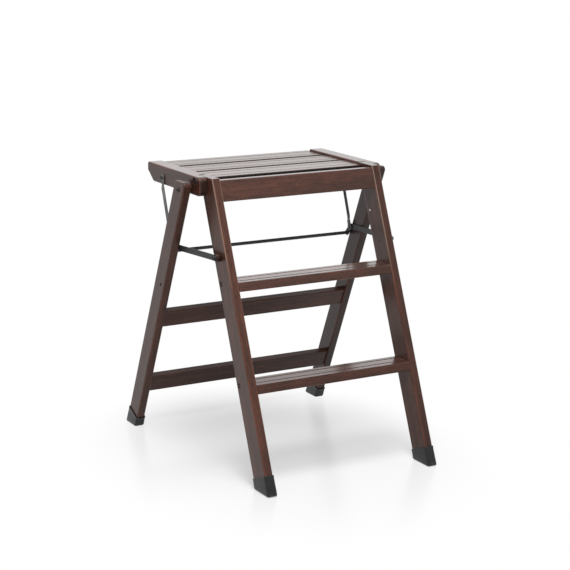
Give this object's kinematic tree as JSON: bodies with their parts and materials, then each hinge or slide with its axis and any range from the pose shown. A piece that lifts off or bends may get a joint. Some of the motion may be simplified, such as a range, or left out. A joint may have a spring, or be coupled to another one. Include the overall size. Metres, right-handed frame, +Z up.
{
  "type": "step ladder",
  "caption": "Folding wooden step ladder with grooved treads, a slatted standing platform, rubber feet and a steel spreader that locks the rear frame apart.",
  "frame": {"origin": "on the floor, in the plane of symmetry, midway between the fronts of the front feet and the backs of the rear feet", "axes": "+Z up, +X to the ladder's right as seen from the front, +Y from the front frame towards the rear frame"},
  "size_m": [0.542, 0.6448, 0.66],
  "materials": {
    "stained_beech": "dark reddish brown stain under satin lacquer",
    "dowel_beech": "plain, glued",
    "rubber": "matte moulded",
    "black_steel": "black satin",
    "zinc_steel": "zinc plated"
  },
  "bodies": {
    "front_frame": {"front_stile_left": "stained_beech", "front_stile_right": "stained_beech", "lower_tread": "stained_beech", "upper_tread": "stained_beech", "front_apron": "stained_beech", "front_dowels": "dowel_beech", "tread_screws": "zinc_steel", "tread_plugs": "stained_beech", "stile_pins": "zinc_steel", "front_foot_left": "rubber", "front_foot_right": "rubber", "platform_pivot_bolts": "black_steel", "spreader_spacer_left": "stained_beech", "spreader_spacer_right": "stained_beech", "spreader_pivot_bolts": "black_steel"},
    "platform": {"platform_rail_left": "stained_beech", "platform_rail_right": "stained_beech", "platform_slat_front": "stained_beech", "platform_slat_middle": "stained_beech", "platform_slat_rear": "stained_beech", "slat_dowels": "dowel_beech", "rear_pivot_bolts": "black_steel", "rear_pivot_spacers": "black_steel", "pull_rod_screws": "black_steel"},
    "rear_frame": {"rear_leg_left": "stained_beech", "rear_leg_right": "stained_beech", "rear_rail_lower": "stained_beech", "rear_rail_upper": "stained_beech", "rear_dowels": "dowel_beech", "rear_leg_screws": "black_steel", "rear_foot_left": "rubber", "rear_foot_right": "rubber"},
    "spreader": {"spreader_strut_left": "black_steel", "spreader_strut_right": "black_steel", "lock_pins": "black_steel", "cross_rod": "black_steel", "cross_rod_nuts": "black_steel"},
    "pull_rods": {"pull_rod_left": "black_steel", "pull_rod_right": "black_steel", "pull_rod_rivets": "black_steel"}
  },
  "joints": [
    {"name": "platform_fold", "type": "hinge", "parent": "front_frame", "child": "platform", "pos_m": [0, -0.00464, 0.65], "axis": [1, 0, 0], "range_deg": [0, 60]},
    {"name": "rear_frame_fold", "type": "hinge", "parent": "platform", "child": "rear_frame", "pos_m": [0, 0.02136, 0.628], "axis": [1, 0, 0], "range_deg": [-104.4, 0]},
    {"name": "spreader_fold", "type": "hinge", "parent": "front_frame", "child": "spreader", "pos_m": [0, -0.09044, 0.49], "axis": [1, 0, 0], "range_deg": [0, 48]},
    {"name": "pull_rod_swing", "type": "hinge", "parent": "platform", "child": "pull_rods", "pos_m": [0, 0.16036, 0.634], "axis": [1, 0, 0], "range_deg": [-57, 0]}
  ],
  "couplings": [
    {"joint": "rear_frame_fold", "follows": "platform_fold", "ratio": -1.74},
    {"joint": "spreader_fold", "follows": "platform_fold", "ratio": 0.8},
    {"joint": "pull_rod_swing", "follows": "platform_fold", "ratio": -0.95}
  ]
}
